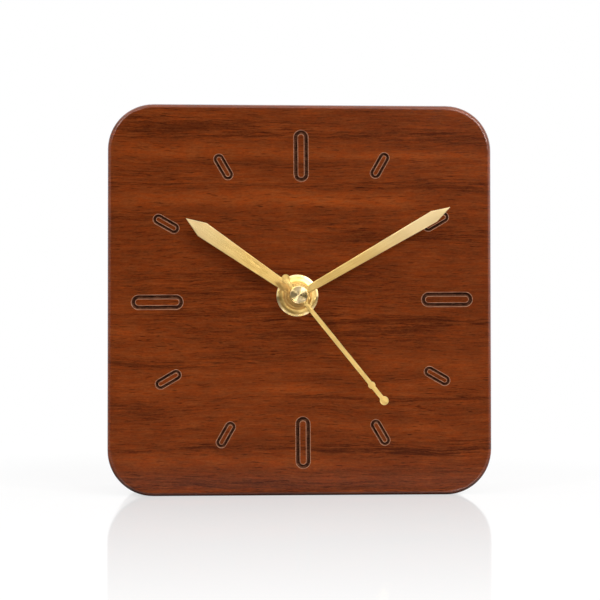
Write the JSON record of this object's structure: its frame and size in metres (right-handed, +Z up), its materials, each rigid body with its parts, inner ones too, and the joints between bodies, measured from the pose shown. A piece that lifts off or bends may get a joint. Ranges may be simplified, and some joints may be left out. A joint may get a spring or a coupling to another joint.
{
  "type": "desk clock",
  "caption": "Square solid-wood desk clock with carved hour markers, brass hands and a battery movement in a rear pocket.",
  "frame": {"origin": "middle of the flat base", "axes": "+Z up, +X to the reader's right, -Y out of the dial towards the reader"},
  "size_m": [0.118, 0.0496, 0.12],
  "materials": {
    "walnut": "oiled dark walnut, satin, grain running left to right",
    "turned_brass": "lathe-turned brass",
    "polished_brass": "polished brass",
    "brushed_brass": "brushed brass sheet with bevelled edges",
    "gasket_rubber": "plain black rubber sheet",
    "black_plastic": "fine-textured black moulding",
    "knob_plastic": "black moulding",
    "white_plastic": "natural moulding",
    "gear_plastic": "natural acetal moulding",
    "spring_steel": "spring steel",
    "bright_steel": "bright drawn steel",
    "stator_iron": "annealed soft iron",
    "copper_wire": "enamelled copper wire, wound close",
    "magnet_ferrite": "dark sintered ferrite",
    "board_laminate": "green solder mask",
    "chip_resin": "black potting resin",
    "contact_steel": "nickel-plated steel",
    "battery_steel": "nickel-plated steel can",
    "battery_sleeve": "plain dark shrink sleeve with a bare metal-coloured band"
  },
  "bodies": {
    "case": {"wooden_block": "walnut", "brass_washer": "turned_brass", "dial_nut": "polished_brass", "threaded_bush": "turned_brass", "rubber_gasket": "gasket_rubber", "movement_front_shell": "black_plastic", "movement_rear_cover": "black_plastic", "middle_plate": "white_plastic", "train_bridge": "white_plastic", "stator_plate": "stator_iron", "coil_core": "stator_iron", "coil_bobbin": "white_plastic", "coil_winding": "copper_wire", "coil_screws": "bright_steel", "circuit_board": "board_laminate", "clock_chip": "chip_resin", "quartz_crystal": "bright_steel", "battery_contact_positive": "contact_steel", "battery_contact_negative": "contact_steel"},
    "seconds": {"second_hand": "brushed_brass", "second_hand_cap": "turned_brass", "seconds_arbor": "bright_steel", "seconds_wheel": "gear_plastic"},
    "minute": {"minute_hand": "brushed_brass", "minute_arbor": "turned_brass", "clutch_spring": "spring_steel"},
    "hour": {"hour_hand": "brushed_brass", "hour_wheel": "gear_plastic"},
    "centre": {"centre_wheel": "gear_plastic"},
    "third": {"third_wheel": "gear_plastic"},
    "fifth": {"fifth_wheel": "gear_plastic"},
    "rotor": {"rotor_pinion": "gear_plastic", "rotor_magnet": "magnet_ferrite"},
    "motion": {"motion_wheel": "gear_plastic"},
    "setting": {"setting_shaft": "gear_plastic", "setting_knob": "knob_plastic"},
    "battery": {"battery_cell": "battery_steel", "battery_jacket": "battery_sleeve"}
  },
  "joints": [
    {"name": "seconds_turn", "type": "hinge", "parent": "case", "child": "seconds", "pos_m": [-0.001, 0, 0.06125], "axis": [0, 1, 0], "continuous": true},
    {"name": "minute_turn", "type": "hinge", "parent": "case", "child": "minute", "pos_m": [-0.001, 0, 0.06125], "axis": [0, 1, 0], "continuous": true},
    {"name": "hour_turn", "type": "hinge", "parent": "case", "child": "hour", "pos_m": [-0.001, 0, 0.06125], "axis": [0, 1, 0], "continuous": true},
    {"name": "motion_turn", "type": "hinge", "parent": "case", "child": "motion", "pos_m": [0.00845, 0, 0.05958], "axis": [0, 1, 0], "continuous": true},
    {"name": "setting_turn", "type": "hinge", "parent": "case", "child": "setting", "pos_m": [0.01802, 0, 0.05875], "axis": [0, 1, 0], "continuous": true},
    {"name": "centre_turn", "type": "hinge", "parent": "case", "child": "centre", "pos_m": [-0.001, 0, 0.06125], "axis": [0, 1, 0], "continuous": true},
    {"name": "third_turn", "type": "hinge", "parent": "case", "child": "third", "pos_m": [-0.01115, 0, 0.06494], "axis": [0, 1, 0], "continuous": true},
    {"name": "fifth_turn", "type": "hinge", "parent": "case", "child": "fifth", "pos_m": [0.0026, 0, 0.06749], "axis": [0, 1, 0], "continuous": true},
    {"name": "rotor_turn", "type": "hinge", "parent": "case", "child": "rotor", "pos_m": [0.00796, 0, 0.07198], "axis": [0, 1, 0], "continuous": true},
    {"name": "battery_slide", "type": "slide", "parent": "case", "child": "battery", "axis": [0, 1, 0], "range_m": [0, 0.032]}
  ],
  "couplings": [
    {"joint": "hour_turn", "follows": "minute_turn", "ratio": 0.083333},
    {"joint": "motion_turn", "follows": "minute_turn", "ratio": -0.33333},
    {"joint": "setting_turn", "follows": "minute_turn", "ratio": 1},
    {"joint": "third_turn", "follows": "seconds_turn", "ratio": -0.13333},
    {"joint": "centre_turn", "follows": "seconds_turn", "ratio": 0.016667},
    {"joint": "fifth_turn", "follows": "seconds_turn", "ratio": -5},
    {"joint": "rotor_turn", "follows": "seconds_turn", "ratio": 30}
  ]
}
